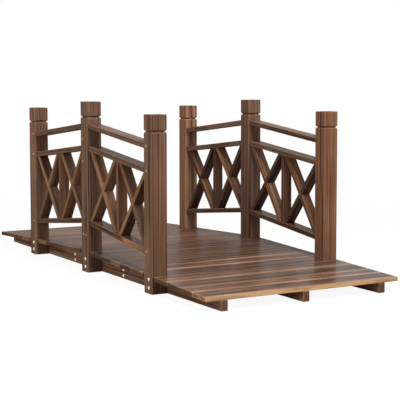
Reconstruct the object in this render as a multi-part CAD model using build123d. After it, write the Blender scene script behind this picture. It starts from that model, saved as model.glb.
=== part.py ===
"""Wooden garden footbridge: a gabled plank deck on three bearers, six posts and four railed bays.

Frame: X runs along the bridge, Y across it, Z up. The origin is on the ground under the deck's middle.
Lengths are in millimetres.
"""
import math
import os

from build123d import *

# Deck boards lie crosswise. A wide board is let in round each pair of posts, plain ones fill the rest.
plain_board_pitch = 69.0
post_board_pitch = 86.0
boards_between_posts = 5
boards_beyond_posts = 4
board_gap = 3.0
board_thickness = 12.0
board_arris = 1.5
deck_setback = 1.0
notch_clearance = 1.0

# Bearers stand on edge under the boards: level underneath, two straight ramps and a short level top.
bearer_thickness = 20.0
bearer_end_height = 28.5
bearer_mid_height = 54.8

# Posts are bolted to the outer faces of the outer bearers and stand on the ground with them.
post_size = 48.0
post_arris = 1.5
posts_outer_width = 628.0
mid_post_height = 527.0
end_post_rise = 80.5
cap_height = 42.0
groove_height = 10.0
groove_depth = 5.0

# Rails butt between the posts, all on one slope. The slats take up what is left between the lower two.
rail_depth = 40.0
rail_height = 15.2
rail_drop = 41.0
handrail_below_top = 67.5
handrail_gap = 52.8
bottom_rail_clearance = 82.0
rail_arris = 1.0

# Slats fill each bay between the second and the bottom rail: two crosses and an upright.
slat_thickness = 13.0
slat_depth = 31.0
slat_corner_inset = 10.3

# Spacers tie the bearers together behind the bolts in the outer bearers.
spacer_place = 180.5
spacer_thickness = 20.0
spacer_height = 36.0
spacer_clearance = 1.5

deck_width = posts_outer_width - 2 * deck_setback
top_rail_height = mid_post_height - handrail_below_top
end_post_height = top_rail_height - rail_drop + end_post_rise
second_rail_height = top_rail_height - rail_height - handrail_gap
bottom_rail_height = bearer_mid_height + board_thickness + bottom_rail_clearance + rail_height
post_spacing = post_board_pitch + boards_between_posts * plain_board_pitch
half_length = post_spacing + post_board_pitch / 2 + boards_beyond_posts * plain_board_pitch
flat_half = post_board_pitch / 2
ramp_slope = (bearer_mid_height - bearer_end_height) / (half_length - flat_half)
ramp_angle = math.atan(ramp_slope)
post_centre_y = (posts_outer_width - post_size) / 2
post_inner_y = posts_outer_width / 2 - post_size
bay_start = post_size / 2
bay_end = post_spacing - post_size / 2
rail_slope = rail_drop / (bay_end - bay_start)
bay_middle = (bay_start + bay_end) / 2

SIDES = {"left": -1, "right": 1}
ENDS = {"far": -1, "near": 1}


def prism(points, y_middle, depth):
    """Carry a closed outline in X and Z across the bridge, evenly about y_middle."""
    outline = Plane.XZ * Polyline(*points, close=True)
    return Pos(0, y_middle, 0) * extrude(make_face(outline), depth / 2, both=True)


def bearer_top(x):
    """Height of the bearers' top edge at x."""
    return bearer_mid_height - ramp_slope * max(0, abs(x) - flat_half)


def rail_top(x, height):
    """Height of a rail's top at x, given its height at the middle post."""
    return height - rail_slope * (abs(x) - bay_start)


def post(height):
    """Square post with eased corners, a groove under its cap and a chamfered top."""
    half = post_size / 2
    neck = height - cap_height - groove_height
    one_side = [
        (half, 0),
        (half, neck),
        (half - groove_depth, neck + groove_height / 2),
        (half, height - cap_height),
        (half, height - post_arris),
        (half - post_arris, height),
    ]
    outline = one_side + [(-x, z) for x, z in reversed(one_side)]
    across = prism(outline, 0, post_size)
    along = Rot(0, 0, 90) * across
    core = extrude(RectangleRounded(post_size, post_size, post_arris), height)
    return core & across & along


def bearer(y_middle):
    """One bearer: level underneath, its top following the two ramps."""
    outline = [
        (-half_length, 0),
        (half_length, 0),
        (half_length, bearer_end_height),
        (flat_half, bearer_mid_height),
        (-flat_half, bearer_mid_height),
        (-half_length, bearer_end_height),
    ]
    return prism(outline, y_middle, bearer_thickness)


def board(x_middle, pitch):
    """One board resting on the bearers at x_middle, its upper long edges eased."""
    half = (pitch - board_gap) / 2
    outline = [
        (-half, 0),
        (half, 0),
        (half, board_thickness - board_arris),
        (half - board_arris, board_thickness),
        (-half + board_arris, board_thickness),
        (-half, board_thickness - board_arris),
    ]
    tilt = 0 if abs(x_middle) < flat_half else math.copysign(math.degrees(ramp_angle), x_middle)
    return Pos(x_middle, 0, bearer_top(x_middle)) * Rot(0, tilt, 0) * prism(outline, 0, deck_width)


def notched_board(x_middle):
    """A wide board let in round the two posts that stand at x_middle."""
    plank = board(x_middle, post_board_pitch)
    width = post_size + 2 * notch_clearance
    for side in SIDES.values():
        notch = Box(width, width, mid_post_height)
        plank -= Pos(x_middle, side * post_centre_y, 0) * notch
    return plank


def rail(end, y_middle, height):
    """One rail from the middle post down to the end post, cut upright where it meets them."""
    top = [(x, rail_top(x, height)) for x in (bay_start, bay_end)]
    low = [(x, z - rail_height) for x, z in reversed(top)]
    bar = prism([(end * x, z) for x, z in top + low], y_middle, rail_depth)
    run = math.hypot(bay_end - bay_start, rail_drop)
    long_edges = [edge for edge in bar.edges() if abs(edge.length - run) < rail_arris]
    return chamfer(long_edges, rail_arris)


def slat_outline(end, x_top, x_low):
    """Outline of a sloping slat, its ends cut along the rails above and below it."""
    z_top = rail_top(x_top, second_rail_height) - rail_height
    z_low = rail_top(x_low, bottom_rail_height)
    length = math.hypot(x_top - x_low, z_top - z_low)
    across = (z_top - z_low - rail_slope * (x_low - x_top)) / length
    reach = slat_thickness / 2 / across
    fall = rail_slope * reach
    corners = [
        (x_top - reach, z_top + fall),
        (x_top + reach, z_top - fall),
        (x_low + reach, z_low - fall),
        (x_low - reach, z_low + fall),
    ]
    return [(end * x, z) for x, z in corners]


def crossed_slats(end, y_middle):
    """The falling and the rising slats of a bay, halved into each other where they cross.

    The falling slat keeps its outer half in the cross by the middle post and its inner half in the other.
    """
    falling = []
    rising = []
    outer = math.copysign(slat_depth / 4, y_middle)
    half_upright = slat_thickness / 2
    crosses = ((bay_start, bay_middle - half_upright, outer), (bay_middle + half_upright, bay_end, -outer))
    for start, stop, kept in crosses:
        upper = start + slat_corner_inset
        lower = stop - slat_corner_inset
        fall = slat_outline(end, upper, lower)
        rise = slat_outline(end, lower, upper)
        fall_half = prism(fall, y_middle + kept, slat_depth / 2)
        rise_half = prism(rise, y_middle - kept, slat_depth / 2)
        falling.append(prism(fall, y_middle, slat_depth) - rise_half)
        rising.append(prism(rise, y_middle, slat_depth) - fall_half)
    return Compound(children=falling), Compound(children=rising)


def upright(end, y_middle):
    """The upright slat in the middle of a bay, cut along both rails."""
    xs = (bay_middle - slat_thickness / 2, bay_middle + slat_thickness / 2)
    top = [(x, rail_top(x, second_rail_height) - rail_height) for x in xs]
    low = [(x, rail_top(x, bottom_rail_height)) for x in reversed(xs)]
    return prism([(end * x, z) for x, z in top + low], y_middle, slat_depth)


def spacer(end):
    """Two short blocks in line between the three bearers."""
    reach = post_inner_y - bearer_thickness - bearer_thickness / 2
    y_middle = (bearer_thickness / 2 + post_inner_y - bearer_thickness) / 2
    block = Box(spacer_thickness, reach, spacer_height)
    height = spacer_clearance + spacer_height / 2
    blocks = [Pos(end * spacer_place, side * y_middle, height) * block for side in SIDES.values()]
    return Compound(children=blocks)


def parts():
    """Every node of the bridge by name."""
    made = {}
    for side, sign in SIDES.items():
        y = sign * post_centre_y
        made[f"post_mid_{side}"] = Pos(0, y, 0) * post(mid_post_height)
        made[f"bearer_{side}"] = bearer(sign * (post_inner_y - bearer_thickness / 2))
        for end_name, end in ENDS.items():
            bay = f"{end_name}_{side}"
            made[f"post_{bay}"] = Pos(end * post_spacing, y, 0) * post(end_post_height)
            made[f"rail_top_{bay}"] = rail(end, y, top_rail_height)
            made[f"rail_second_{bay}"] = rail(end, y, second_rail_height)
            made[f"rail_bottom_{bay}"] = rail(end, y, bottom_rail_height)
            made[f"slats_falling_{bay}"], made[f"slats_rising_{bay}"] = crossed_slats(end, y)
            made[f"slat_upright_{bay}"] = upright(end, y)
    made["bearer_centre"] = bearer(0)
    made["board_post_mid"] = notched_board(0)
    for end_name, end in ENDS.items():
        first = flat_half + plain_board_pitch / 2
        span = [end * (first + i * plain_board_pitch) for i in range(boards_between_posts)]
        first = post_spacing + post_board_pitch / 2 + plain_board_pitch / 2
        ramp = [end * (first + i * plain_board_pitch) for i in range(boards_beyond_posts)]
        made[f"boards_span_{end_name}"] = Compound(children=[board(x, plain_board_pitch) for x in span])
        made[f"board_post_{end_name}"] = notched_board(end * post_spacing)
        made[f"boards_ramp_{end_name}"] = Compound(children=[board(x, plain_board_pitch) for x in ramp])
        made[f"spacers_{end_name}"] = spacer(end)
    return made


os.makedirs("parts", exist_ok=True)
for node, shape in parts().items():
    export_step(shape, f"parts/{node}.step")
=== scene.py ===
"""Dressed model of a wooden garden footbridge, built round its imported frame.

X runs along the bridge, Y across it and Z up. Meshes are in metres, and the sizes in the classes are in millimetres.
Every timber is a closed outline with rounded corners, carried along a straight run as whole arrays.
"""
import logging
import math
from dataclasses import dataclass, field
from enum import Enum
from functools import partial

import bpy
import numpy as np
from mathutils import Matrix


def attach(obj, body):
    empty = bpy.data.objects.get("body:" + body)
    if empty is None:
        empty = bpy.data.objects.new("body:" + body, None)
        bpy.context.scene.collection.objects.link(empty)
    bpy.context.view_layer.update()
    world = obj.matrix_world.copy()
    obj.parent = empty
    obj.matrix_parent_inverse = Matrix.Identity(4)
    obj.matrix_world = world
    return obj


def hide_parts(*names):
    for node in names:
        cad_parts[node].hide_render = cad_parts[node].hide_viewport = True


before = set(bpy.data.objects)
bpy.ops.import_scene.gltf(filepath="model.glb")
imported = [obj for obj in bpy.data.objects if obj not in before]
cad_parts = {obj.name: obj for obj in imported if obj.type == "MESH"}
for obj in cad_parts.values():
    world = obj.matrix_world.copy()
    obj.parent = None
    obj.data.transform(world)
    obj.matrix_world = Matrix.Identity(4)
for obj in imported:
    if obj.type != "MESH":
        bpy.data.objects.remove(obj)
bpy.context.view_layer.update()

Array = np.ndarray
Inputs = dict | tuple | list
LOG = logging.getLogger("footbridge")
MM = 0.001
BODY = "root"
MATH, VECTOR, RAMP, MIX = "ShaderNodeMath", "ShaderNodeVectorMath", "ShaderNodeMapRange", "ShaderNodeMix"
SMOOTH = "SMOOTHSTEP"
# The setting that says what a node of these kinds does.
MODES = {MATH: "operation", VECTOR: "operation", RAMP: "interpolation_type", MIX: "blend_type"}
# What each point of a timber carries: Blender's type, its key, and the socket that a material reads. The stain also
# carries painted light and shade on a few timbers.
WAY, SHARE = ("FLOAT_VECTOR", "vector", "Vector"), ("FLOAT", "value", "Fac")
LAYERS = {"grain": WAY, "fibre": WAY, "stain": ("FLOAT_COLOR", "color", "Color"), "band": WAY,
          "wear": SHARE, "sap": SHARE, "oil": SHARE}
# Where timbers lay in a log: millimetres from its pith, and metres either way along it.
PITH_RANGE, LOG_REACH = (40, 130), 4


class Side(Enum):
    """The two railings, by the sign of their Y."""

    LEFT = -1
    RIGHT = 1


class End(Enum):
    """The two halves of the bridge, by the sign of their X."""

    FAR = -1
    NEAR = 1


class Lean(Enum):
    """How a slat runs from the middle post outwards. At the first crossing the falling one keeps its outer half."""

    FALLING = 1
    RISING = -1
    UPRIGHT = 0


class Drive(Enum):
    """The recess in a fastener's head, by its number of lobes."""

    HEX = 6
    CROSS = 4


class Tone(Enum):
    """How a timber took the stain, as a factor on each colour channel. Some also carry painted light and shade, as
    noted where they are used.
    """

    MID = (1.0, 1.0, 1.0)
    DARK = (0.66, 0.64, 0.66)
    GREY = (0.86, 0.90, 0.95)
    RED = (1.03, 0.93, 0.90)
    WARM = (1.20, 1.09, 0.97)
    PALE = (1.45, 1.38, 1.28)
    DUSTY = (0.97, 1.04, 1.11)
    BARE = (1.78, 1.78, 1.70)
    # Painted shade: stands for the shade on slats that show their undersides towards the near end.
    PAINTED_SHADE = (0.46, 0.45, 0.48)


def linear(code: str) -> tuple[float, ...]:
    """Linear red, green, blue and an alpha of 1, from an sRGB hex code."""
    srgb = np.array([int(code[i:i + 2], 16) for i in (1, 3, 5)]) / 255
    return (*np.where(srgb <= 0.04045, srgb / 12.92, ((srgb + 0.055) / 1.055) ** 2.4).tolist(), 1.0)


def add_node(tree: bpy.types.NodeTree, kind: str, inputs: Inputs = (), mode: str = "",
             **settings: object) -> bpy.types.Node:
    """Add one node with its settings and links.

    Args:
        tree: Gets the node.
        kind: Blender's name for it.
        inputs: By input or in order, a value to set, or a socket or node to link. A node gives its first live output.
        mode: What it does, for the kinds in MODES.
        **settings: Other properties of the node.

    Returns:
        The node.
    """
    node = tree.nodes.new(kind)
    if kind == MIX:
        node.data_type = "RGBA"
    if mode:
        settings[MODES[kind]] = mode
    for key, value in settings.items():
        setattr(node, key, value)
    for key, value in inputs.items() if isinstance(inputs, dict) else enumerate(inputs):
        if isinstance(value, bpy.types.Node):
            value = next(socket for socket in value.outputs if socket.enabled)
        if isinstance(value, bpy.types.NodeSocket):
            tree.links.new(value, node.inputs[key])
        else:
            node.inputs[key].default_value = value
    return node


def blank_material(name: str) -> tuple[bpy.types.Material, bpy.types.NodeTree]:
    """Start a material with an empty node tree.

    Args:
        name: Of the material.

    Returns:
        The material and its tree.
    """
    material = bpy.data.materials.new(name)
    material.use_nodes = True
    material.node_tree.nodes.clear()
    return material, material.node_tree


def new_object(name: str, points: Array, faces: list, material: bpy.types.Material) -> bpy.types.Object:
    """Make a mesh and its object, and put that in the scene.

    Args:
        name: Of both.
        points: (N, 3) points in metres.
        faces: Lists of point numbers.
        material: Its finish.

    Returns:
        The object.
    """
    mesh = bpy.data.meshes.new(name)
    mesh.from_pydata(points.tolist(), [], faces)
    mesh.materials.append(material)
    made = bpy.data.objects.new(name, mesh)
    bpy.context.scene.collection.objects.link(made)
    return made


def skin(index: Array) -> Array:
    """Four-cornered faces between each closed ring of point numbers and the next, from (..., M, N)."""
    ahead = np.roll(index, -1, -1)
    return np.stack([index[..., :-1, :], ahead[..., :-1, :], ahead[..., 1:, :], index[..., 1:, :]], -1)


@dataclass(frozen=True)
class StainedFir:
    """Carbonised fir: scorched, brushed along the grain, stained dark brown and matt, with a thin film of oil on top.

    Soft dark and light stripes run along each timber, with pale sapwood at some edges, rubbed arrises, and honey
    coloured wood where no stain took. Widths are in millimetres.
    """

    name: str
    dark: str = "#3d2c23"
    middle: str = "#715443"
    light: str = "#94725a"
    red: str = "#947060"
    pale: str = "#a27e66"
    rubbed: str = "#a9825f"
    honey: str = "#c08a52"
    scorched_honey: str = "#8f5f38"
    end_grain: str = "#4a3224"
    ring_width: float = 9.0
    ring_wander: float = 9.0
    ring_share: float = 0.38
    streak_width: float = 9.0
    fibre_width: float = 2.2
    fibre_share: float = 0.3
    band_width: float = 0.4
    line_share: float = 0.35
    roughness: float = 0.7
    oil_share: float = 0.25
    oil_roughness: float = 0.26

    def patterns(self) -> dict[str, tuple[float, float, float, float]]:
        """Length and width of each pattern's patches, its detail and its roughness."""
        return {"wander": (420, 46, 2, 0.5), "streak": (520, self.streak_width, 3, 0.62),
                "fibre": (220, self.fibre_width, 2, 0.6), "patch": (240, 60, 1, 0.5), "blotch": (110, 12, 2, 0.6)}

    def ramps(self) -> dict[str, tuple[str, float, float, float, float]]:
        """By what it gives, a pattern, the part of its range that counts and what that becomes."""
        return {"streaks": ("streak", 0.30, 0.70, 0.0, 1 - self.ring_share),
                "reddened": ("patch", 0.42, 0.68, 0.0, 0.45), "taken": ("patch", 0.35, 0.62, 1.0, 0.45),
                "missed": ("blotch", 0.30, 0.60, 0.35, 1.0), "scuffed": ("blotch", 0.34, 0.62, 0.2, 0.9)}

    def material(self) -> bpy.types.Material:
        """Build the node tree.

        Rings are the distance from the pith, bent by slow noise and folded into a triangle wave as long as a ring is
        wide. Streaks and fibres are noise stretched along the grain. Their sum goes from dark over middle to light.
        A band is pale where the place across, made ragged by the streaks, is near an edge with sapwood.

        Returns:
            The finished material.
        """
        material, tree = blank_material(self.name)
        node = partial(add_node, tree)
        layer = {name: node("ShaderNodeAttribute", attribute_name=name).outputs[socket]
                 for name, (_, _, socket) in LAYERS.items()}
        noise = {}
        for name, (along, across, detail, rough) in self.patterns().items():
            scale = tuple(1 / (MM * size) for size in (along, across, across))
            place = node(VECTOR, (layer["grain"], scale), "MULTIPLY")
            noise[name] = node("ShaderNodeTexNoise",
                               {"Vector": place, "Scale": 1.0, "Detail": detail, "Roughness": rough})
        ramp = {name: node(RAMP, (noise[source], *limits), SMOOTH)
                for name, (source, *limits) in self.ramps().items()}

        radial = node(VECTOR, (layer["grain"], (0, 1, 1)), "MULTIPLY")
        from_pith = node(VECTOR, (radial,), "LENGTH")
        bent = node(MATH, (noise["wander"], 2 * self.ring_wander * MM, from_pith), "MULTIPLY_ADD")
        width = self.ring_width * MM
        fold = node(MATH, (bent, width / 2), "PINGPONG")
        depth = node(RAMP, (noise["patch"], 0.35, 0.65, 0.25 * self.ring_share, self.ring_share))
        rings = node(RAMP, (fold, 0.02 * width, 0.28 * width, 0.0, depth), SMOOTH)
        grown = node(MATH, (rings, ramp["streaks"]), "ADD")
        share = node(MATH, (noise["fibre"], self.fibre_share, grown), "MULTIPLY_ADD")
        start = self.fibre_share / 2
        lower = node(RAMP, (share, start, start + 0.5), SMOOTH)
        upper = node(RAMP, (share, start + 0.4, start + 0.95), SMOOTH)

        band = node("ShaderNodeSeparateXYZ", (layer["band"],)).outputs
        ragged = node(MATH, (noise["streak"], 1.25 * self.band_width), "MULTIPLY")
        high = node(MATH, (ragged, band["X"]), "ADD")
        low = node(MATH, (ragged, band["X"]), "SUBTRACT")
        edge = 1 + 0.625 * self.band_width
        reach = []
        for first in (edge - 1.9 * self.band_width, edge - self.band_width):
            sides = [node(RAMP, (value, first, first + 0.7 * self.band_width, 0.0, band[strength]), SMOOTH)
                     for value, strength in ((low, "Y"), (high, "Z"))]
            reach.append(node(MATH, sides, "MAXIMUM"))
        line = node(MATH, (reach[0], self.line_share), "MULTIPLY")
        sapwood = node(MATH, (reach[1], ramp["taken"]), "MULTIPLY")

        normal = node("ShaderNodeNewGeometry").outputs["Normal"]
        facing = node(VECTOR, (normal, layer["fibre"]), "DOT_PRODUCT")
        square = node(MATH, (facing,), "ABSOLUTE")
        end_on = node(RAMP, (square, 0.75, 0.92))
        cut = node(MIX, {"Factor": rings, "A": linear(self.end_grain), "B": linear(self.middle)})
        cut = node(MIX, {"Factor": 1.0, "A": cut, "B": layer["stain"]}, "MULTIPLY")
        bare = node(MATH, (layer["sap"], ramp["missed"]), "MULTIPLY")
        honey = node(MIX, {"Factor": share, "A": linear(self.scorched_honey), "B": linear(self.honey)})
        rub = node(MATH, (layer["wear"], ramp["scuffed"]), "MULTIPLY")
        colour = linear(self.dark)
        # The stain layer's factor also brings in the painted light and shade of some timbers.
        for factor, over, blend in (
                (lower, linear(self.middle), "MIX"), (upper, linear(self.light), "MIX"),
                (ramp["reddened"], linear(self.red), "MULTIPLY"), (1.0, layer["stain"], "MULTIPLY"),
                (line, linear(self.dark), "MIX"), (sapwood, linear(self.pale), "MIX"), (end_on, cut, "MIX"),
                (bare, honey, "MIX"), (rub, linear(self.rubbed), "MIX")):
            colour = node(MIX, {"Factor": factor, "A": colour, "B": over}, blend)

        height = node(MATH, (noise["fibre"], 0.7, grown), "MULTIPLY_ADD")
        bump = node("ShaderNodeBump", {"Height": height, "Strength": 0.5, "Distance": 0.35 * MM})
        rough = node(RAMP, (share, start, start + 0.9, self.roughness + 0.06, self.roughness - 0.06))
        upward = node("ShaderNodeSeparateXYZ", (normal,)).outputs["Z"]
        film = node(MATH, (layer["oil"], self.oil_share), "MULTIPLY")
        oiled = node(RAMP, (upward, 0.2, 0.9, 0.05, film))
        shader = node("ShaderNodeBsdfPrincipled", {
            "Base Color": colour, "Roughness": rough, "Specular IOR Level": 0.0, "Coat Weight": oiled,
            "Coat Roughness": self.oil_roughness, "Normal": bump})
        node("ShaderNodeOutputMaterial", {"Surface": shader})
        return material


@dataclass(frozen=True)
class GalvanisedSteel:
    """Bright galvanised steel, cold headed: pale grey metal, with a faint spangle a few millimetres across."""

    name: str = "galvanised_steel_cold_headed"
    colour: str = "#f0e8e0"
    shade: str = "#c9c0b8"
    spangle: float = 1.8
    roughness: float = 0.34
    roughness_range: float = 0.14

    def material(self) -> bpy.types.Material:
        """Build the node tree: cells of slightly different grey, and a roughness that varies with them.

        Returns:
            The finished material.
        """
        material, tree = blank_material(self.name)
        node = partial(add_node, tree)
        place = node("ShaderNodeTexCoord").outputs["Object"]
        cells = node("ShaderNodeTexVoronoi", {"Vector": place, "Scale": 1 / (self.spangle * MM)})
        grey = node("ShaderNodeSeparateColor", {"Color": cells.outputs["Color"]})
        colour = node(MIX, {"Factor": grey, "A": linear(self.colour), "B": linear(self.shade)})
        rough = node(RAMP, (grey, 0.0, 1.0, self.roughness, self.roughness + self.roughness_range))
        shader = node("ShaderNodeBsdfPrincipled", {"Base Color": colour, "Metallic": 1.0, "Roughness": rough})
        node("ShaderNodeOutputMaterial", {"Surface": shader})
        return material


@dataclass
class Outline:
    """A closed outline with rounded corners, counter-clockwise.

    Attributes:
        points: (N, 2) points.
        mitres: (N, 2) how each moves when the outline grows by one.
        wear: (N,) 1 on rounded outer corners, 0 on the flats.
    """

    points: Array
    mitres: Array
    wear: Array

    @classmethod
    def rounded(cls, corners: Array | list, radius: float, guard: float, steps: int = 3) -> "Outline":
        """Round every corner of a polygon.

        Between edges with outward normals n and m the mitre is (n + m) / (1 + n.m). The arc's centre is radius times
        the mitre inside the corner, and the arc is that centre plus radius times n, turned towards m. A flat point
        beyond each end of the arc lets wear die away close to it.

        Args:
            corners: (N, 2) polygon, counter-clockwise.
            radius: Of every corner.
            guard: How far the flat points stand off.
            steps: Edges in each arc.

        Returns:
            The outline.
        """
        place = np.asarray(corners, float)
        ahead = np.roll(place, -1, axis=0) - place
        ahead = ahead / np.linalg.norm(ahead, axis=1, keepdims=True)
        behind = np.roll(ahead, 1, axis=0)
        n = np.stack([behind[:, 1], -behind[:, 0]], 1)
        m = np.stack([ahead[:, 1], -ahead[:, 0]], 1)
        mitre = (n + m) / (1 + (n * m).sum(1, keepdims=True))
        turn = np.arctan2((behind * m).sum(1), (behind * ahead).sum(1))
        reach = radius * np.sign(turn)[:, None]
        angle = turn[:, None] * np.linspace(0, 1, steps + 1)
        swept = np.stack([np.cos(angle) * n[:, :1] - np.sin(angle) * n[:, 1:],
                          np.sin(angle) * n[:, :1] + np.cos(angle) * n[:, 1:]], -1)
        arc = (place - reach * mitre)[:, None] + reach[:, None] * swept
        first = arc[:, :1] - guard * behind[:, None]
        last = arc[:, -1:] + guard * ahead[:, None]
        shown = np.concatenate([[0.0], np.ones(steps + 1), [0.0]])
        return cls(np.concatenate([first, arc, last], 1).reshape(-1, 2), np.repeat(mitre, steps + 3, axis=0),
                   (shown * (turn[:, None] > 0)).ravel())

    @classmethod
    def block(cls, low: tuple[float, float], high: tuple[float, float], radius: float, guard: float) -> "Outline":
        """A rectangle between two corners given in metres, rounded by sizes in millimetres."""
        return cls.rounded([low, (high[0], low[1]), high, (low[0], high[1])], radius * MM, guard * MM)


def eased_run(start: float, stop: float, low: float, high: float, guard: float, steps: int = 3) -> Array:
    """Stations of a run whose ends are rounded over.

    A quarter round of radius r is r (1 - sin a) from the end where it is r (1 - cos a) in from the outline.

    Args:
        start: Where it begins.
        stop: Where it ends.
        low: Radius at its start, 0 for a square cut.
        high: Radius at its end.
        guard: How far beyond a rounding a flat station stands.
        steps: Edges in a rounding.

    Returns:
        Rows of place, inset and wear.
    """
    a = np.linspace(0, math.pi / 2, steps + 1)

    def rounding(radius: float) -> Array:
        """Rows from the flat to the end, as distance from the end, inset and wear."""
        if radius == 0:
            return np.zeros((1, 3))
        arc = np.stack([radius * (1 - np.sin(a)), radius * (1 - np.cos(a)), np.ones_like(a)], 1)
        return np.vstack([[radius + guard, 0, 0], arc, [0, radius + guard, 0]])

    first, last = rounding(low)[::-1].copy(), rounding(high)
    first[:, 0] += start
    last[:, 0] = stop - last[:, 0]
    return np.vstack([first, last])


@dataclass
class Timber:
    """How one timber lies, and how it was cut from the log.

    Attributes:
        origin: A point on it, in metres.
        axes: Rows, the ways of the outline's two coordinates and of the run.
        along: Which of the three the fibres follow.
        tone: How it took the stain; on a few timbers it also carries painted light and shade.
        seed: Draws its place in the log.
        wide: Which coordinate runs from edge to edge.
        bands: How pale the sapwood at the low and the high edge is, for all points or for each.
        turn: How far that sapwood turns onto the face beside it.
        spread: How much wider than usual it is.
        oil: How much oil it took, as a share of its finish's.
        fade: Painted light and shade along its fibres: how much lighter it is painted where it starts, and how much
            darker where it ends.
    """

    origin: Array
    axes: Array
    along: int
    tone: Tone
    seed: int
    wide: int = 0
    bands: tuple[Array | float, Array | float] = (0.0, 0.0)
    turn: float = 0.0
    spread: float = 1.0
    oil: float = 1.0
    fade: tuple[float, float] = (0.0, 0.0)

    def placed(self, local: Array) -> Array:
        """Local coordinates as points of the frame."""
        return self.origin + local @ self.axes

    def fibres(self) -> Array:
        """Unit vector along the fibres."""
        way = self.axes[self.along]
        return way / np.linalg.norm(way)

    def grain(self, local: Array) -> Array:
        """Coordinates in the log: along the pith, then across it both ways.

        Args:
            local: (..., 3) local coordinates.

        Returns:
            Where the points were in the log.
        """
        draw = np.random.default_rng(self.seed)
        order = [self.along] + [i for i in range(3) if i != self.along]
        angle, off = draw.uniform(0, 2 * math.pi), draw.uniform(*PITH_RANGE) * MM
        shift = [draw.uniform(-LOG_REACH, LOG_REACH), off * math.cos(angle), off * math.sin(angle)]
        return local[..., order] + np.array(shift)

    def stained(self, local: Array) -> Array:
        """Stain factor, with painted light and shade falling along the fibres by the first fade before 0 and the second
        after.

        Args:
            local: (N, 3) local coordinates.

        Returns:
            (N, 4) factors, with an alpha of 1.
        """
        place = local[:, self.along] / np.abs(local[:, self.along]).max()
        lighter, darker = self.fade
        factor = (1 - np.where(place < 0, lighter, darker) * place)[:, None] * np.array(self.tone.value)
        return np.concatenate([factor, np.ones((len(local), 1))], 1)

    def banded(self, local: Array) -> Array:
        """Place between the two edges, -1 to 1 before spread and turn, and the strength of the band at either.

        Args:
            local: (N, 3) local coordinates.

        Returns:
            (N, 3) rows of the three.
        """
        place = local / np.abs(local).max(0)
        share = self.spread * place[:, self.wide] + self.turn * place[:, 0]
        return np.stack([share, *(np.broadcast_to(band, len(local)) for band in self.bands)], 1)


@dataclass
class TimberMesh:
    """The solids of one piece, gathered as arrays until they become a mesh."""

    points: list[Array] = field(default_factory=list)
    faces: list[list[int]] = field(default_factory=list)
    layers: dict[str, list[Array]] = field(default_factory=lambda: {name: [] for name in LAYERS})

    def add(self, timber: Timber, local: Array, wear: Array, sap: Array, quads: Array, plates: list[Array]) -> None:
        """Add one closed solid.

        Args:
            timber: How it lies.
            local: (M, N, 3) rings of local points.
            wear: (M, N) how rubbed each point is.
            sap: (M, N) how unstained each point is.
            quads: (F, 4) faces between the rings.
            plates: Flat faces that close it.
        """
        first = sum(len(p) for p in self.points)
        flat = local.reshape(-1, 3)
        self.points.append(timber.placed(flat))
        step = -1 if np.linalg.det(timber.axes) < 0 else 1
        self.faces += (quads[:, ::step] + first).tolist()
        self.faces += [(plate[::step] + first).tolist() for plate in plates]
        values = {"grain": timber.grain(flat), "fibre": np.broadcast_to(timber.fibres(), flat.shape),
                  "stain": timber.stained(flat), "band": timber.banded(flat), "wear": wear.ravel(),
                  "sap": sap.ravel(), "oil": np.full(len(flat), timber.oil)}
        for name, value in values.items():
            self.layers[name].append(value)

    def add_carried(self, timber: Timber, outline: Outline, stations: Array,
                    sap: Array | float = 0.0, rub: float = 1.0) -> "TimberMesh":
        """Carry an outline along a run, closed by flat plates.

        Ring i is the outline's points less inset i times their mitres, at place i.

        Args:
            timber: How it lies.
            outline: What is carried.
            stations: Rows of place, inset and wear.
            sap: How unstained it is, for all points or as (M, N).
            rub: Factor on the wear.

        Returns:
            This mesh.
        """
        rings, size = len(stations), len(outline.points)
        flat = outline.points - stations[:, 1, None, None] * outline.mitres
        place = np.broadcast_to(stations[:, 0, None, None], (rings, size, 1))
        wear = rub * np.maximum(outline.wear, stations[:, 2, None])
        index = np.arange(rings * size).reshape(rings, size)
        self.add(timber, np.concatenate([flat, place], -1), wear, np.broadcast_to(sap, (rings, size)),
                 skin(index).reshape(-1, 4), [index[0, ::-1], index[-1]])
        return self

    def piece(self, node: str, material: bpy.types.Material, slot: str) -> None:
        """Make the object, and let it stand for a node of the frame.

        Args:
            node: The node, which the piece is named after.
            material: Its finish.
            slot: Not used.
        """
        made = new_object(f"fir_{node}", np.concatenate(self.points), self.faces, material)
        for layer, (kind, key, _) in LAYERS.items():
            values = np.concatenate(self.layers[layer]).astype(np.float32).ravel()
            made.data.attributes.new(layer, kind, "POINT").data.foreach_set(key, values)
        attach(made, BODY)
        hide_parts(node)
        LOG.info("%s: %d faces", made.name, len(made.data.polygons))


def axes(first: tuple, second: tuple, run: tuple) -> Array:
    """Three ways as the rows of an array."""
    return np.array([first, second, run], float)


@dataclass(frozen=True)
class BoardLook:
    """How one board differs from the next. Tone, seed, spread and oil are as in Timber.

    Attributes:
        inner: Sapwood along the edge towards the middle of the bridge.
        outer: Sapwood along the other edge.
        fade: Painted light and shade: how much lighter its left end is painted, and how much darker its right end.
        rub: How rubbed its arrises are.
        end: How honey coloured its ends are.
        front: How honey coloured its outer edge is.
    """

    tone: Tone
    seed: int
    inner: float = 0.0
    outer: float = 0.0
    spread: float = 1.0
    oil: float = 1.0
    fade: float = 0.0
    rub: float = 0.3
    end: float = 0.0
    front: float = 0.0


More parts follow.
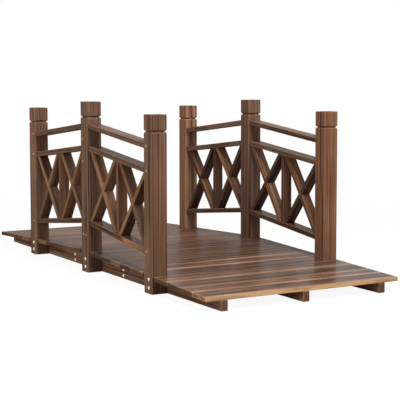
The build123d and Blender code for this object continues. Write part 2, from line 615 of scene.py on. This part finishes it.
@dataclass
class Deck:
    """Crosswise boards on the ramps, with a wider one let in round each pair of posts."""

    finish: StainedFir
    plain_pitch: float = 69.0
    post_pitch: float = 86.0
    gap: float = 3.0
    thickness: float = 12.0
    half_width: float = 313.0
    top_round: float = 1.5
    low_round: float = 0.7
    guard: float = 0.6
    bearer_height: float = 54.8
    bearer_end_height: float = 28.5
    half_length: float = 750.0
    post_spacing: float = 431.0
    notch_half: float = 25.0
    notch_inner: float = 265.0

    def ramp(self) -> float:
        """Fall of the bearers' tops per unit of length."""
        return (self.bearer_height - self.bearer_end_height) / (self.half_length - self.post_pitch / 2)

    def bearer_top(self, x: float) -> float:
        """Height of the bearers' tops at x."""
        return self.bearer_height - self.ramp() * max(0.0, abs(x) - self.post_pitch / 2)

    def plan(self, pitch: float, notched: bool) -> Outline:
        """Outline of a board from above.

        Args:
            pitch: Its width with one gap.
            notched: Whether it goes round a pair of posts.

        Returns:
            The outline, along the bridge and across it.
        """
        half, edge = (pitch - self.gap) / 2 * MM, self.half_width * MM
        side, inner = self.notch_half * MM, self.notch_inner * MM
        notch = [(-side, -edge), (-side, -inner), (side, -inner), (side, -edge)] if notched else []
        left = np.array([(-half, -edge), *notch, (half, -edge)])
        return Outline.rounded(np.concatenate([left, -left]), self.low_round * MM, self.guard * MM)

    def looks(self) -> dict[tuple[End, str], list[BoardLook]]:
        """Looks of the boards from the middle outwards, by half and by the piece that they belong to."""
        look, tone = BoardLook, Tone
        return {
            (End.FAR, "span"): [
                look(tone.WARM, 110, end=0.1), look(tone.PALE, 111, outer=0.15, end=0.1),
                look(tone.PALE, 112, inner=0.2), look(tone.WARM, 113, outer=0.1),
                look(tone.PALE, 114, outer=0.3, end=0.3)],
            (End.FAR, "post"): [look(tone.PALE, 120, outer=0.2)],
            (End.FAR, "ramp"): [
                look(tone.PALE, 130, inner=0.2, end=0.3), look(tone.PALE, 131, outer=0.2),
                look(tone.PALE, 132, outer=0.3, end=0.1), look(tone.WARM, 133, inner=0.2, front=0.3)],
            (End.NEAR, "span"): [
                look(tone.DUSTY, 11140, outer=0.1), look(tone.DUSTY, 21141, outer=0.15),
                look(tone.DUSTY, 3142, outer=0.1, end=0.4), look(tone.DUSTY, 14143, outer=0.7),
                look(tone.WARM, 23144, inner=0.35, outer=0.9, spread=1.2, end=0.1)],
            (End.NEAR, "post"): [look(tone.GREY, 25150, outer=0.2, oil=1.4)],
            # The near ramp's boards are painted lighter at their left ends and darker at their right ends: painted
            # light and shade.
            (End.NEAR, "ramp"): [
                look(tone.MID, 2160, outer=0.85, spread=1.6, oil=1.7, fade=0.3),
                look(tone.GREY, 5161, inner=0.2, outer=0.2, oil=1.7, fade=0.3),
                look(tone.WARM, 12162, inner=0.7, outer=0.85, spread=1.4, oil=1.7, fade=0.3),
                look(tone.MID, 19163, outer=0.8, spread=1.3, oil=1.7, fade=0.2, rub=0.5, end=0.6, front=1.0)],
        }

    def add_board(self, mesh: TimberMesh, x: float, pitch: float, look: BoardLook) -> None:
        """Lay one board on the bearers.

        Args:
            mesh: Gets the board.
            x: Where its middle is.
            pitch: Its width with one gap.
            look: How it differs.
        """
        tilt = 0.0 if x == 0 else math.copysign(math.atan(self.ramp()), x)
        ways = axes((math.cos(tilt), 0, -math.sin(tilt)), (0, 1, 0), (math.sin(tilt), 0, math.cos(tilt)))
        outline = self.plan(pitch, pitch == self.post_pitch)
        run = eased_run(0, self.thickness * MM, self.low_round * MM, self.top_round * MM, self.guard * MM)
        corner = self.low_round + self.guard / 2
        at_end = np.abs(outline.points[:, 1]) > (self.half_width - corner) * MM
        at_edge = outline.points[:, 0] * math.copysign(1, x) > ((pitch - self.gap) / 2 - corner) * MM
        sap = np.maximum(look.end * at_end, look.front * at_edge) * (run[:, 1, None] < (self.top_round + 0.1) * MM)
        place = np.array([x, 0, self.bearer_top(x)]) * MM
        bands = (look.inner, look.outer) if x > 0 else (look.outer, look.inner)
        # The look's fade is painted light at the board's left end and painted shade at its right end.
        lie = Timber(place, ways, 1, look.tone, look.seed, 0, bands, 0.0, look.spread, look.oil,
                     (look.fade, look.fade))
        mesh.add_carried(lie, outline, run, sap, look.rub)

    def build(self) -> None:
        """Lay all boards, from the middle outwards, as seven pieces."""
        fir = self.finish.material()
        mesh = TimberMesh()
        self.add_board(mesh, 0.0, self.post_pitch, BoardLook(Tone.MID, 100))
        mesh.piece("board_post_mid", fir, "deck_fir")
        beside = (self.post_pitch + self.plain_pitch) / 2
        starts = {"span": (beside, self.plain_pitch, "boards_span"),
                  "post": (self.post_spacing, self.post_pitch, "board_post"),
                  "ramp": (self.post_spacing + beside, self.plain_pitch, "boards_ramp")}
        for (end, group), looks in self.looks().items():
            first, pitch, node = starts[group]
            node = f"{node}_{end.name.lower()}"
            mesh = TimberMesh()
            for j, look in enumerate(looks):
                self.add_board(mesh, end.value * (first + j * pitch), pitch, look)
            mesh.piece(node, fir, "deck_fir")


@dataclass
class Underframe:
    """Three bearers on edge under the boards, and the spacers between them."""

    finish: StainedFir
    half_length: float = 750.0
    end_height: float = 28.5
    mid_height: float = 54.8
    flat_half: float = 43.0
    thickness: float = 20.0
    outer_y: float = 256.0
    arris: float = 1.0
    guard: float = 0.6
    bearer_rub: float = 0.4
    spacer_place: float = 180.5
    spacer_thickness: float = 20.0
    spacer_height: float = 36.0
    spacer_clearance: float = 1.5
    spacer_rub: float = 0.3
    spacer_seed: int = 230

    def bearer(self, y: float, tone: Tone, seed: int, fade: float) -> TimberMesh:
        """One bearer, level underneath, its top following the two ramps.

        Args:
            y: Its middle.
            tone: How it took the stain; on the left bearer it is painted light against the shade under the boards.
            seed: Draws its place in the log.
            fade: How much darker its near end is painted, as painted shade.

        Returns:
            The mesh.
        """
        l, f, low, high = (v * MM for v in (self.half_length, self.flat_half, self.end_height, self.mid_height))
        outline = Outline.rounded([(-l, 0), (l, 0), (l, low), (f, high), (-f, high), (-l, low)],
                                  self.arris * MM, self.guard * MM)
        half = self.thickness / 2 * MM
        run = eased_run(-half, half, self.arris * MM, self.arris * MM, self.guard * MM)
        lie = Timber(np.array([0, y * MM, 0]), axes((1, 0, 0), (0, 0, 1), (0, 1, 0)), 0, tone, seed,
                     fade=(0.0, fade))
        return TimberMesh().add_carried(lie, outline, run, rub=self.bearer_rub)

    def spacers(self, end: End) -> TimberMesh:
        """The two blocks in line between the bearers of one half.

        Args:
            end: Which half.

        Returns:
            The mesh.
        """
        half, low = self.spacer_thickness / 2 * MM, self.spacer_clearance * MM
        outline = Outline.block((-half, low), (half, low + self.spacer_height * MM), self.arris, self.guard)
        reach = (self.outer_y - self.thickness / 2) * MM
        mesh = TimberMesh()
        for side in Side:
            start, stop = sorted((side.value * self.thickness / 2 * MM, side.value * reach))
            lie = Timber(np.array([end.value * self.spacer_place * MM, 0, 0]), axes((1, 0, 0), (0, 0, 1), (0, 1, 0)), 2,
                         Tone.DARK, self.spacer_seed + 2 * end.value + side.value)
            mesh.add_carried(lie, outline, eased_run(start, stop, 0, 0, 0), rub=self.spacer_rub)
        return mesh

    def build(self) -> None:
        """Make the three bearers and both pairs of spacers."""
        fir = self.finish.material()
        # The left bearer's bare tone is painted light that offsets the shade under the boards, and its fade is painted
        # shade at its near end under the near ramp.
        looks = {"left": (-self.outer_y, Tone.BARE, 201, 0.35), "centre": (0.0, Tone.WARM, 202, 0.0),
                 "right": (self.outer_y, Tone.MID, 203, 0.0)}
        for name, look in looks.items():
            self.bearer(*look).piece(f"bearer_{name}", fir, "bearer_fir")
        for end in End:
            self.spacers(end).piece(f"spacers_{end.name.lower()}", fir, "bearer_fir")


@dataclass
class Posts:
    """Six square posts, each with a cap block above a turned-in groove."""

    finish: StainedFir
    size: float = 48.0
    spacing: float = 431.0
    centre_y: float = 290.0
    mid_height: float = 527.0
    end_height: float = 499.0
    cap_height: float = 42.0
    groove_height: float = 10.0
    groove_depth: float = 5.0
    groove_wear: float = 0.5
    groove_worn: float = 0.4
    groove_steps: int = 8
    arris: float = 1.5
    foot_arris: float = 0.8
    guard: float = 0.8
    shoulder_power: float = 1.5
    rub: float = 0.25

    def profile(self, height: float) -> Array:
        """Stations up one post.

        In the groove the inset is its depth times u to the shoulder power, with u from 0 at either shoulder to 1 at
        the bottom, so the shoulders are rounded and the bottom is sharp.

        Args:
            height: Of the post.

        Returns:
            Rows of place, inset and wear.
        """
        ends = eased_run(0, height * MM, self.foot_arris * MM, self.arris * MM, self.guard * MM)
        u = np.concatenate([np.linspace(0, 1, self.groove_steps), np.linspace(1, 0, self.groove_steps)[1:]])
        along = np.linspace(-1, 1, len(u)) * self.groove_height / 2
        middle = height - self.cap_height - self.groove_height / 2
        groove = np.stack([(middle + along) * MM, self.groove_depth * u ** self.shoulder_power * MM,
                           self.groove_wear * (u > 0) * (u < self.groove_worn)], 1)
        split = len(ends) // 2
        return np.vstack([ends[:split], groove, ends[split:]])

    def build(self) -> None:
        """Stand all six posts."""
        fir = self.finish.material()
        half = self.size / 2 * MM
        outline = Outline.block((-half, -half), (half, half), self.arris, self.guard)
        rows = (("mid", 0, self.mid_height, (Tone.DUSTY, 0.0, 10309), (Tone.DUSTY, 0.0, 5311)),
                ("far", -1, self.end_height, (Tone.MID, 0.35, 25312), (Tone.BARE, 0.0, 24314)),
                ("near", 1, self.end_height, (Tone.MID, 0.15, 20315), (Tone.WARM, 0.0, 23317)))
        for word, sign, height, *looks in rows:
            for side, (tone, pale, seed) in zip(Side, looks):
                place = np.array([sign * self.spacing, side.value * self.centre_y, 0]) * MM
                lie = Timber(place, np.eye(3), 2, tone, seed, 1, (pale, 0.0))
                mesh = TimberMesh().add_carried(lie, outline, self.profile(height), rub=self.rub)
                mesh.piece(f"post_{word}_{side.name.lower()}", fir, "post_fir")


@dataclass(frozen=True)
class SlatLook:
    """How one slat took the stain, and its pale outer edge. On the right, the darkest tone is painted shade.

    Attributes:
        tone: How it took the stain; the darkest tone, on the right, is painted shade.
        pale: How pale the edge is above the crossing.
        low_pale: The same below it.
        turn: How far the pale turns onto the upper face.
    """

    tone: Tone
    pale: float = 0.0
    low_pale: float = 0.0
    turn: float = 0.0


@dataclass
class Railing:
    """The four bays: three rails on one slope in each, and halved slats between the lower two."""

    rail_finish: StainedFir
    slat_finish: StainedFir
    bay_start: float = 24.0
    bay_end: float = 407.0
    centre_y: float = 290.0
    rail_depth: float = 40.0
    rail_height: float = 15.2
    rail_drop: float = 41.0
    tops: dict[str, float] = field(default_factory=lambda: {"top": 459.5, "second": 391.5, "bottom": 164.0})
    rail_arris: float = 1.4
    rail_rub: float = 0.55
    slat_thickness: float = 13.0
    slat_depth: float = 31.0
    slat_arris: float = 0.7
    slat_rub: float = 0.4
    corner_inset: float = 10.3
    guard: float = 0.5
    first_seed: int = 400

    def looks(self) -> dict[tuple[Side, Lean], list[SlatLook]]:
        """Looks of a bay's slats, from the middle post outwards; the far right bay swaps falling and rising, so that
        painted shade stays on the slats that climb towards the near end.
        """
        look, tone = SlatLook, Tone
        return {
            (Side.LEFT, Lean.FALLING): [look(tone.WARM, 0.8, 0.6, 0.45), look(tone.GREY, 0.8, 0.05, 0.3)],
            (Side.LEFT, Lean.RISING): [look(tone.MID, 0.8, 0.55), look(tone.DARK, 0.85, 0.8)],
            (Side.LEFT, Lean.UPRIGHT): [look(tone.RED)],
            (Side.RIGHT, Lean.FALLING): [look(tone.PALE, 0.4, 0.3), look(tone.WARM, 0.5, 0.3)],
            # These slats climb towards the near end and show their undersides that way; their very dark tone is painted
            # shade.
            (Side.RIGHT, Lean.RISING): [look(tone.PAINTED_SHADE, 0.5, 0.3), look(tone.PAINTED_SHADE, 0.5, 0.3)],
            (Side.RIGHT, Lean.UPRIGHT): [look(tone.DARK)],
        }

    def slope(self) -> float:
        """Fall of the rails per unit of length."""
        return self.rail_drop / (self.bay_end - self.bay_start)

    def rail_top(self, x: float, kind: str) -> float:
        """Height of a rail's top at x, counted from the middle of the bridge outwards."""
        return self.tops[kind] - self.slope() * (x - self.bay_start)

    def rail(self, end: End, side: Side, kind: str, tone: Tone, seed: int) -> TimberMesh:
        """One rail, an upright section sheared down its slope and butted to the posts.

        Only the near left bottom rail has a honey patch, on its outer face in the outer half of its run.

        Args:
            end: Which half of the bridge.
            side: Which railing.
            kind: Which of the three.
            tone: How it took the stain.
            seed: Draws its place in the log.

        Returns:
            The mesh.
        """
        half = self.rail_depth / 2 * MM
        outline = Outline.block((-half, -self.rail_height * MM), (half, 0), self.rail_arris, self.guard)
        place = np.array([end.value * self.bay_start, side.value * self.centre_y, self.tops[kind]]) * MM
        lie = Timber(place, axes((0, 1, 0), (0, 0, 1), (end.value, 0, -self.slope())), 2, tone, seed)
        length = (self.bay_end - self.bay_start) * MM
        share = np.array([0, 0.2, 0.60, 0.64, 0.69, 0.80, 0.89, 0.96, 1.0])
        honey = np.array([0, 0, 0, 0.9, 1.0, 0.8, 0.45, 0.3, 0.2])
        run = np.stack([share * length, 0 * share, 0 * share], 1)
        outer = outline.points[:, 0] < -half + 0.1 * self.rail_arris * MM
        patched = (end, side, kind) == (End.NEAR, Side.LEFT, "bottom")
        return TimberMesh().add_carried(lie, outline, run, patched * honey[:, None] * outer, self.rail_rub)

    def line(self, end: End, upper: float, lower: float) -> tuple[Array, Array, float]:
        """A slat's centre line, as X and Z.

        Args:
            end: Which half of the bridge.
            upper: Where it meets the second rail.
            lower: Where it meets the bottom rail.

        Returns:
            Its upper end, its unit way down and its length.
        """
        head = np.array([end.value * upper, self.rail_top(upper, "second") - self.rail_height])
        way = np.array([end.value * lower, self.rail_top(lower, "bottom")]) - head
        length = float(np.linalg.norm(way))
        return head, way / length, length

    def slat(self, mesh: TimberMesh, end: End, side: Side, upper: float, lower: float, kept: int,
             look: SlatLook, seed: int) -> None:
        """One slat between the second and the bottom rail.

        Each station is a plane that cuts the run down the centre line at place + slope times the first outline
        coordinate: the rails at its ends, and at a crossing the other slat's faces, between which only the outer or the
        inner half of its depth goes on.

        Args:
            mesh: Gets the slat.
            end: Which half of the bridge.
            side: Which railing.
            upper: Where its centre line meets the second rail.
            lower: Where it meets the bottom rail.
            kept: Sign of Y of the half that goes on at the crossing, 0 without one.
            look: How it differs.
            seed: Draws its place in the log.
        """
        head, run, length = self.line(end, upper, lower)
        cross = np.array([-run[1], run[0]])
        rail_way = np.array([end.value, -self.slope()])
        rail_cut = float(rail_way @ run / (rail_way @ cross))
        planes = [(0.0, rail_cut), (length, rail_cut)]
        if kept:
            other_head, way, _ = self.line(end, lower, upper)
            normal = np.array([-way[1], way[0]])
            meet = float((other_head - head) @ normal / (run @ normal))
            reach = abs(self.slat_thickness / 2 / float(run @ normal))
            cut = -float(cross @ normal / (run @ normal))
            planes[1:1] = [(meet - reach, cut), (meet + reach, cut)]
        half, deep = self.slat_thickness / 2 * MM, self.slat_depth / 2 * MM
        outline = Outline.block((-half, -deep), (half, deep), self.slat_arris, self.guard)
        per_side = len(outline.points) // 2
        points = np.vstack([outline.points[:per_side], [[half, 0]], outline.points[per_side:], [[-half, 0]]])
        wear = np.concatenate([outline.wear[:per_side], [0], outline.wear[per_side:], [0]])
        size, rings = len(points), len(planes)
        place = np.array(planes)[:, :1] * MM + np.array(planes)[:, 1:] * points[:, 0]
        local = np.concatenate([np.broadcast_to(points, (rings, size, 2)), place[..., None]], -1)
        index = np.arange(rings * size).reshape(rings, size)
        kept_skin = np.ones((rings - 1, size), bool)
        plates = [index[0, ::-1], index[-1]]
        east, west = per_side, size - 1
        upper_arc, lower_arc = np.arange(east, west + 1), np.roll(np.arange(size), 1)[:east + 2]
        gone, ends = (upper_arc, (east, west)) if kept < 0 else (lower_arc, (west, east))
        if kept:
            kept_skin[1, gone[:-1]] = False
            plates += [index[1, gone], index[2, gone[::-1]]]
            plates += [np.array([index[1, ends[0]], index[1, ends[1]], index[2, ends[1]], index[2, ends[0]]])]
        ways = axes((cross[0], 0, cross[1]), (0, 1, 0), (run[0], 0, run[1]))
        pale = np.repeat([look.pale] * (rings // 2) + [look.low_pale] * (rings // 2), size)
        bands = (pale, 0.0)[::-side.value]
        origin = np.array([head[0], side.value * self.centre_y, head[1]]) * MM
        lie = Timber(origin, ways, 2, look.tone, seed, 1, bands, side.value * end.value * look.turn)
        mesh.add(lie, local, np.broadcast_to(self.slat_rub * wear, (rings, size)), np.zeros((rings, size)),
                 skin(index)[kept_skin], plates)

    def build(self) -> None:
        """Fill all four bays."""
        rail_fir, slat_fir = self.rail_finish.material(), self.slat_finish.material()
        middle = (self.bay_start + self.bay_end) / 2
        half = self.slat_thickness / 2
        fields = ((self.bay_start, middle - half), (middle + half, self.bay_end))
        seed = self.first_seed
        for end, side in ((end, side) for end in End for side in Side):
            bay = f"{end.name.lower()}_{side.name.lower()}"
            for kind in self.tops:
                seed += 1
                tone = Tone.DARK if kind == "bottom" else Tone.GREY if side is Side.LEFT else Tone.DUSTY
                self.rail(end, side, kind, tone, seed).piece(f"rail_{kind}_{bay}", rail_fir, "rail_fir")
            for lean in (Lean.FALLING, Lean.RISING):
                mesh = TimberMesh()
                # On the right the dark looks, which are painted shade, go to the slats that climb towards the near end
                # in both halves.
                shade = Lean(-lean.value) if (end, side) == (End.FAR, Side.RIGHT) else lean
                for (start, stop), turn, look in zip(fields, (1, -1), self.looks()[side, shade]):
                    seed += 1
                    upper, lower = (start + self.corner_inset, stop - self.corner_inset)[::lean.value]
                    self.slat(mesh, end, side, upper, lower, side.value * lean.value * turn, look, seed)
                mesh.piece(f"slats_{lean.name.lower()}_{bay}", slat_fir, "slat_fir")
            seed += 1
            mesh = TimberMesh()
            self.slat(mesh, end, side, middle, middle, Lean.UPRIGHT.value, self.looks()[side, Lean.UPRIGHT][0], seed)
            mesh.piece(f"slat_upright_{bay}", slat_fir, "slat_fir")


@dataclass
class Fasteners:
    """Bolt heads low on the posts and on the outer bearers, and pin heads by the rail ends. A size is radius, rise."""

    bolt_finish: GalvanisedSteel
    pin_finish: GalvanisedSteel
    post_face: float = 314.0
    bearer_face: float = 266.0
    spacing: float = 431.0
    bolt_size: tuple[float, float] = (5.0, 1.6)
    bolt_shift: float = 4.0
    pin_size: tuple[float, float] = (3.6, 0.8)
    sunk: float = 0.6
    bolt_heights: tuple[float, float] = (17.0, 41.0)
    bearer_bolt_place: float = 180.5
    bearer_bolt_shift: float = -6.0
    bearer_bolt_heights: tuple[float, float] = (9.5, 28.0)
    pin_heights: tuple[float, ...] = (116.0, 343.0, 412.0)
    pin_inset: float = 10.0
    around: int = 36
    smooth_below: float = 40.0

    def head(self, radius: float, rise: float, drive: Drive) -> tuple[Array, Array]:
        """One head, as rings round its axis.

        A ring's radius is its row's, drawn towards the drive's outline by the row's last value: cos 30 over cos (angle
        from the middle of its side) for a hexagon, 0.4 plus 0.6 times cos 2a to the 4th for a cross.

        Args:
            radius: Of the head.
            rise: Of its crown above the timber.
            drive: Its recess.

        Returns:
            (M, N, 2) points across the axis, and (M,) heights along it.
        """
        rows = np.array([[0.96, -self.sunk / rise, 0], [1.0, 0.1, 0], [0.99, 0.4, 0], [0.92, 0.68, 0],
                         [0.78, 0.88, 0], [0.62, 0.98, 0], [0.52, 1.0, 0.6], [0.47, 0.98, 1], [0.43, 0.30, 1],
                         [0.30, 0.22, 1]])
        angle = np.linspace(0, 2 * math.pi, self.around, endpoint=False)
        sixth = math.pi / 3
        lobes = {Drive.HEX: math.cos(sixth / 2) / np.cos(np.mod(angle, sixth) - sixth / 2),
                 Drive.CROSS: 0.4 + 0.6 * np.abs(np.cos(2 * angle)) ** 4}[drive]
        reach = radius * rows[:, :1] * (1 - rows[:, 2:] + rows[:, 2:] * lobes)
        return np.stack([reach * np.cos(angle), reach * np.sin(angle)], -1) * MM, rows[:, 1] * rise * MM

    def piece(self, name: str, side: Side, face: float, spots: list[tuple[float, float]],
              head: tuple[Array, Array], steel: bpy.types.Material) -> None:
        """Set heads of one kind on one face.

        Args:
            name: The piece's name.
            side: Which way the face looks.
            face: Its distance from the middle of the bridge.
            spots: Place along the bridge and height of each head.
            head: Rings and heights of one head.
            steel: The finish.
        """
        rings, rise = head
        spot = np.array(spots)[:, None, None] * MM
        along, up = spot[..., 0] + rings[..., 0], spot[..., 1] + rings[..., 1]
        out = np.broadcast_to(side.value * (face * MM + rise[:, None]), along.shape)
        points = np.stack([along, out, up], -1).reshape(-1, 3)
        index = np.arange(len(points)).reshape(along.shape)
        step = 1 if side is Side.LEFT else -1
        plates = [plate[::step].tolist() for plate in (*index[:, 0, ::-1], *index[:, -1])]
        made = new_object(name, points, skin(index).reshape(-1, 4)[:, ::step].tolist() + plates, steel)
        made.data.shade_smooth()
        made.data.set_sharp_from_angle(angle=math.radians(self.smooth_below))
        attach(made, BODY)
        LOG.info("%s: %d heads", name, len(spots))

    def build(self) -> None:
        """Set every head."""
        steel, dull_steel = self.bolt_finish.material(), self.pin_finish.material()
        bolt = self.head(*self.bolt_size, Drive.HEX)
        pin = self.head(*self.pin_size, Drive.CROSS)
        for side in Side:
            word = side.name.lower()
            for post, sign in (("far", -1), ("mid", 0), ("near", 1)):
                x = sign * self.spacing
                self.piece(f"bolts_post_{post}_{word}", side, self.post_face,
                           [(x + self.bolt_shift, z) for z in self.bolt_heights], bolt, steel)
                pins = [(x - sign * self.pin_inset, z) for z in self.pin_heights]
                if sign == 0:
                    pins = [(-self.pin_inset, z) for z in self.pin_heights] + [(self.pin_inset, self.pin_heights[0])]
                self.piece(f"pins_post_{post}_{word}", side, self.post_face, pins, pin, dull_steel)
            spots = [(end.value * self.bearer_bolt_place + self.bearer_bolt_shift, z)
                     for end in End for z in self.bearer_bolt_heights]
            self.piece(f"bolts_bearer_{word}", side, self.bearer_face, spots, bolt, steel)


@dataclass
class Studio:
    """Pale floor, soft light and the camera. Lamps are given by place and size in metres, and by power in watts."""

    floor_reach: float = 30.0
    floor_drop: float = 0.0002
    floor_lines: int = 21
    floor_colour: str = "#ffffff"
    bounce_colour: str = "#c4c1bc"
    shadow_share: float = 0.07
    surround: float = 0.35
    fade_start: float = 0.9
    fade_stop: float = 2.4
    aim: tuple[float, float, float] = (0, 0, 0.25)
    overhead_lamp: tuple[tuple, float, float] = ((2.6, -0.2, 3.6), 2.0, 195)
    side_lamp: tuple[tuple, float, float] = ((0.5, -4.2, 2.2), 2.0, 66)
    camera_place: tuple[float, float, float] = (3307.29, -1775.76, 598.82)
    camera_yaw: float = 59.7052
    camera_pitch: float = 4.9812
    camera_sensor: float = 36.0
    camera_lens: float = 105.2971
    camera_shift: tuple[float, float] = (-0.04, -0.05)
    camera_clip: tuple[float, float] = (0.05, 200)

    def seen(self, tree: bpy.types.NodeTree) -> bpy.types.NodeSocket:
        """A value of 1 for rays from the camera, a mirror or glass.

        Args:
            tree: The tree that asks.

        Returns:
            Its socket.
        """
        path = add_node(tree, "ShaderNodeLightPath").outputs
        first = add_node(tree, MATH, (path["Is Camera Ray"], path["Is Glossy Ray"]), "MAXIMUM")
        return add_node(tree, MATH, (first, path["Is Transmission Ray"]), "MAXIMUM").outputs[0]

    def floor(self) -> None:
        """A wide level sheet that shows white, keeps part of the shadow and throws little light up.

        It is a grid in two parameters, spread by their cubes so that the squares are small near the bridge. The
        shadow's share falls smoothly to nothing away from the bridge's middle.
        """
        side = np.linspace(-1, 1, self.floor_lines) ** 3 * self.floor_reach
        x, y = np.meshgrid(side, side, indexing="ij")
        points = np.stack([x, y, np.full_like(x, -self.floor_drop)], -1).reshape(-1, 3)
        index = np.arange(len(points)).reshape(x.shape)
        quads = np.stack([index[:-1, :-1], index[1:, :-1], index[1:, 1:], index[:-1, 1:]], -1).reshape(-1, 4)
        material, tree = blank_material("matt_white_paper")
        node = partial(add_node, tree)
        seen = self.seen(tree)
        sheet = node(MIX, {"Factor": seen, "A": linear(self.bounce_colour), "B": linear(self.floor_colour)})
        paper = node("ShaderNodeBsdfDiffuse", {"Color": sheet})
        white = node("ShaderNodeEmission", {"Color": (1, 1, 1, 1), "Strength": 1.0})
        place = node("ShaderNodeTexCoord").outputs["Object"]
        away = node(VECTOR, (place,), "LENGTH")
        bright = node(RAMP, (away, self.fade_start, self.fade_stop, 1 - self.shadow_share), SMOOTH)
        share = node(MATH, (seen, bright), "MULTIPLY")
        both = node("ShaderNodeMixShader", (share, paper, white))
        node("ShaderNodeOutputMaterial", {"Surface": both})
        new_object("floor", points, quads.tolist(), material)

    def world(self) -> None:
        """A dim soft surround that is white where it is seen."""
        world = bpy.data.worlds.new("soft_surround")
        world.use_nodes = True
        tree = world.node_tree
        tree.nodes.clear()
        light, white = (add_node(tree, "ShaderNodeBackground", {"Color": (1, 1, 1, 1), "Strength": strength})
                        for strength in (self.surround, 1.0))
        both = add_node(tree, "ShaderNodeMixShader", (self.seen(tree), light, white))
        add_node(tree, "ShaderNodeOutputWorld", {"Surface": both})
        bpy.context.scene.world = world

    def lamp(self, name: str, place: tuple, size: float, power: float) -> None:
        """One square soft lamp that points at the aim.

        Args:
            name: Its name.
            place: Where it hangs.
            size: Its side.
            power: In watts.
        """
        data = bpy.data.lights.new(name, "AREA")
        data.shape, data.size, data.energy = "SQUARE", size, power
        made = bpy.data.objects.new(name, data)
        way = np.array(place) - np.array(self.aim)
        made.location = place
        made.rotation_euler = (math.atan2(math.hypot(way[0], way[1]), way[2]), 0, math.atan2(way[0], -way[1]))
        bpy.context.scene.collection.objects.link(made)

    def camera(self) -> None:
        """The camera where the photograph was taken from."""
        data = bpy.data.cameras.new("camera")
        data.sensor_width, data.lens = self.camera_sensor, self.camera_lens
        data.shift_x, data.shift_y = self.camera_shift
        data.clip_start, data.clip_end = self.camera_clip
        made = bpy.data.objects.new("camera", data)
        made.location = [v * MM for v in self.camera_place]
        made.rotation_euler = (math.radians(90 - self.camera_pitch), 0, math.radians(self.camera_yaw))
        bpy.context.scene.collection.objects.link(made)
        bpy.context.scene.camera = made

    def build(self) -> None:
        """Set the stage."""
        self.floor()
        self.world()
        self.lamp("overhead_lamp", *self.overhead_lamp)
        self.lamp("side_lamp", *self.side_lamp)
        self.camera()
        bpy.context.scene.view_settings.view_transform = "Standard"
        LOG.info("stage set")


def main() -> None:
    """Build the sub-assemblies in order."""
    logging.basicConfig(level=logging.INFO, format="%(name)s: %(message)s")
    deck_fir = StainedFir("stained_carbonised_fir_deck", dark="#2a1d18", middle="#553f34", light="#775a4a",
                          pale="#af8c74", honey="#c59c72", scorched_honey="#9a7350", streak_width=18.0,
                          line_share=0.6, oil_share=0.26)
    bearer_fir = StainedFir("stained_carbonised_fir_bearers", end_grain="#5a3e2f")
    post_fir = StainedFir("stained_carbonised_fir_posts", dark="#432f25", light="#886650", ring_width=8.0,
                          ring_share=0.45, streak_width=7.0)
    rail_fir = StainedFir("stained_carbonised_fir_rails", light="#886650", ring_width=7.0, streak_width=8.0,
                          oil_share=0.3)
    slat_fir = StainedFir("stained_carbonised_fir_slats", pale="#a57c59", ring_width=6.0, band_width=0.1)
    Deck(deck_fir).build()
    Underframe(bearer_fir).build()
    Posts(post_fir).build()
    Railing(rail_fir, slat_fir).build()
    pin_steel = GalvanisedSteel("dulled_steel_pin_heads", colour="#bb9a86", shade="#977864")
    Fasteners(GalvanisedSteel(), pin_steel).build()
    Studio().build()


if __name__ == "__main__":
    main()
